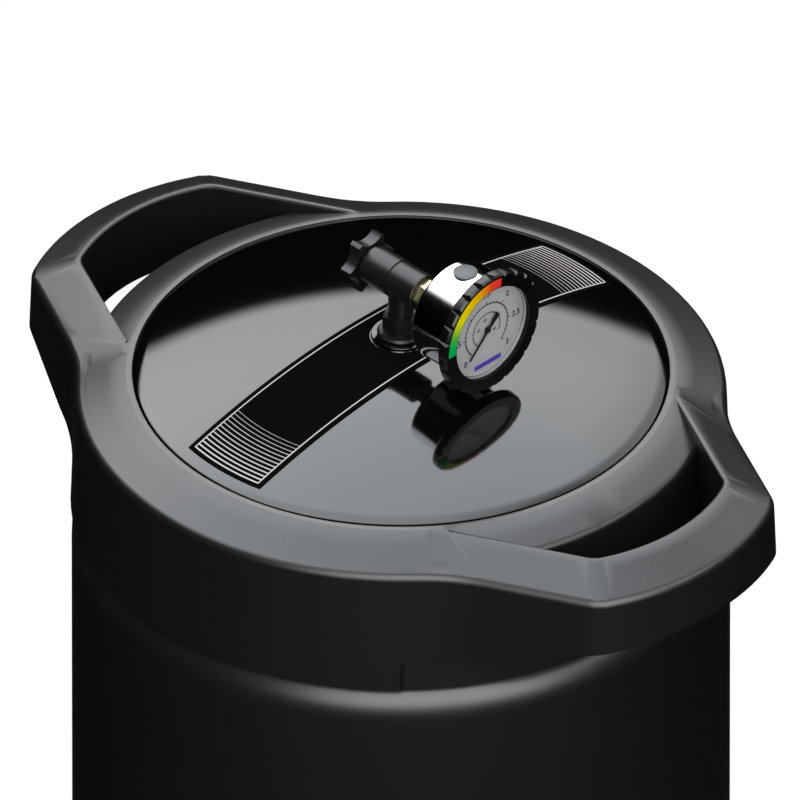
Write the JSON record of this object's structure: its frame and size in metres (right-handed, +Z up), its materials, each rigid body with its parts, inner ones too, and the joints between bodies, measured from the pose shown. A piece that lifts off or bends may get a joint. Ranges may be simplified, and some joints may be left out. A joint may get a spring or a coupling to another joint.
{
  "type": "cartridge filter",
  "caption": "Pool cartridge filter: tall moulded tank, domed lid held by a lock ring with two looped handles, gauge tee with air bleed, pipe unions and drain plug.",
  "frame": {"origin": "on the tank's axis at the floor, the middle of the underside of the base", "axes": "+Z up along the tank's axis, +X towards the handle that the gauge faces, inlet at +Y, outlet at -Y"},
  "size_m": [0.4724, 0.514, 0.7953],
  "materials": {
    "tank_plastic": "satin black moulded plastic",
    "base_plastic": "matt black moulded plastic",
    "ring_plastic": "satin charcoal moulded plastic",
    "lid_gloss": "polished black",
    "label_film": "black film with white stripes",
    "tee_plastic": "matt black moulded plastic",
    "union_plastic": "matt dark grey moulded plastic",
    "inner_plastic": "white moulded plastic",
    "cap_polymer": "blue cast polyurethane",
    "filter_cloth": "white spun polyester",
    "seal_rubber": "black rubber",
    "vent_rubber": "grey rubber",
    "stainless": "stainless steel",
    "brass": "plain brass",
    "chrome": "polished chrome",
    "bezel_plastic": "semi gloss black plastic",
    "band_print": "printed green, yellow, orange and red",
    "dial_face": "light grey printed dial",
    "needle_paint": "black paint",
    "lens_clear": "clear window"
  },
  "bodies": {
    "tank": {"tank_body": "tank_plastic", "base_stand": "base_plastic", "base_screws": "stainless", "outlet_manifold": "inner_plastic", "manifold_oring": "seal_rubber", "inlet_diffuser": "inner_plastic", "cartridge_bottom_cap": "cap_polymer", "cartridge_top_cap": "cap_polymer", "cartridge_pleats": "filter_cloth", "cartridge_core": "inner_plastic", "air_bleed_tube": "inner_plastic", "air_screen": "inner_plastic"},
    "lid": {"lid": "lid_gloss", "lid_oring": "seal_rubber", "label_band": "label_film", "gauge_tee": "tee_plastic", "tee_washer": "seal_rubber", "tee_lock_nut": "tee_plastic", "gauge_socket": "brass", "gauge_case": "chrome", "gauge_vent_plug": "vent_rubber", "gauge_bourdon_tube": "brass", "gauge_movement": "brass", "gauge_dial": "dial_face", "gauge_seal": "seal_rubber", "gauge_lens": "lens_clear"},
    "lock_ring": {"lock_ring": "ring_plastic"},
    "bezel": {"gauge_bezel": "bezel_plastic", "gauge_colour_band": "band_print"},
    "needle": {"gauge_needle": "needle_paint"},
    "bleed_seal": {"bleed_seal": "seal_rubber"},
    "bleed_knob": {"bleed_knob": "tee_plastic"},
    "drain_seal": {"drain_oring": "seal_rubber"},
    "drain_plug": {"drain_plug": "tee_plastic"},
    "inlet_tail": {"inlet_tail": "union_plastic", "inlet_oring": "seal_rubber"},
    "inlet_nut": {"inlet_nut": "union_plastic"},
    "outlet_tail": {"outlet_tail": "union_plastic", "outlet_oring": "seal_rubber"},
    "outlet_nut": {"outlet_nut": "union_plastic"}
  },
  "joints": [
    {"name": "lid_rise", "type": "slide", "parent": "tank", "child": "lid", "axis": [0, 0, 1], "range_m": [0, 0.018]},
    {"name": "ring_turn", "type": "hinge", "parent": "lid", "child": "lock_ring", "pos_m": [0, 0, 0.69], "axis": [0, 0, 1], "range_deg": [0, 135]},
    {"name": "bezel_turn", "type": "hinge", "parent": "lid", "child": "bezel", "pos_m": [0.062, 0, 0.7593], "axis": [1, 0, 0], "continuous": true},
    {"name": "needle_sweep", "type": "hinge", "parent": "lid", "child": "needle", "pos_m": [0.062, 0, 0.7593], "axis": [-1, 0, 0], "range_deg": [0, 270], "stiffness_Nm_per_rad": 0.01},
    {"name": "bleed_travel", "type": "slide", "parent": "lid", "child": "bleed_seal", "axis": [-1, 0, 0], "range_m": [0, 0.003]},
    {"name": "bleed_turn", "type": "hinge", "parent": "bleed_seal", "child": "bleed_knob", "pos_m": [-0.03, 0, 0.7593], "axis": [-1, 0, 0], "range_deg": [0, 540]},
    {"name": "drain_travel", "type": "slide", "parent": "tank", "child": "drain_seal", "axis": [1, 0, 0], "range_m": [0, 0.012]},
    {"name": "drain_turn", "type": "hinge", "parent": "drain_seal", "child": "drain_plug", "pos_m": [0.2, 0, 0.112], "axis": [1, 0, 0], "range_deg": [0, 1440]},
    {"name": "inlet_tail_travel", "type": "slide", "parent": "tank", "child": "inlet_tail", "axis": [0, 1, 0], "range_m": [0, 0.024]},
    {"name": "inlet_nut_turn", "type": "hinge", "parent": "inlet_tail", "child": "inlet_nut", "pos_m": [0, 0.21, 0.16], "axis": [0, 1, 0], "range_deg": [0, 1440]},
    {"name": "outlet_tail_travel", "type": "slide", "parent": "tank", "child": "outlet_tail", "axis": [0, -1, 0], "range_m": [0, 0.024]},
    {"name": "outlet_nut_turn", "type": "hinge", "parent": "outlet_tail", "child": "outlet_nut", "pos_m": [0, -0.21, 0.15], "axis": [0, -1, 0], "range_deg": [0, 1440]}
  ],
  "couplings": [
    {"joint": "lid_rise", "follows": "ring_turn", "m_per_rad": 0.0076394},
    {"joint": "bleed_travel", "follows": "bleed_turn", "m_per_rad": 0.00031831},
    {"joint": "drain_travel", "follows": "drain_turn", "m_per_rad": 0.00047746},
    {"joint": "inlet_tail_travel", "follows": "inlet_nut_turn", "m_per_rad": 0.00095493},
    {"joint": "outlet_tail_travel", "follows": "outlet_nut_turn", "m_per_rad": 0.00095493}
  ]
}
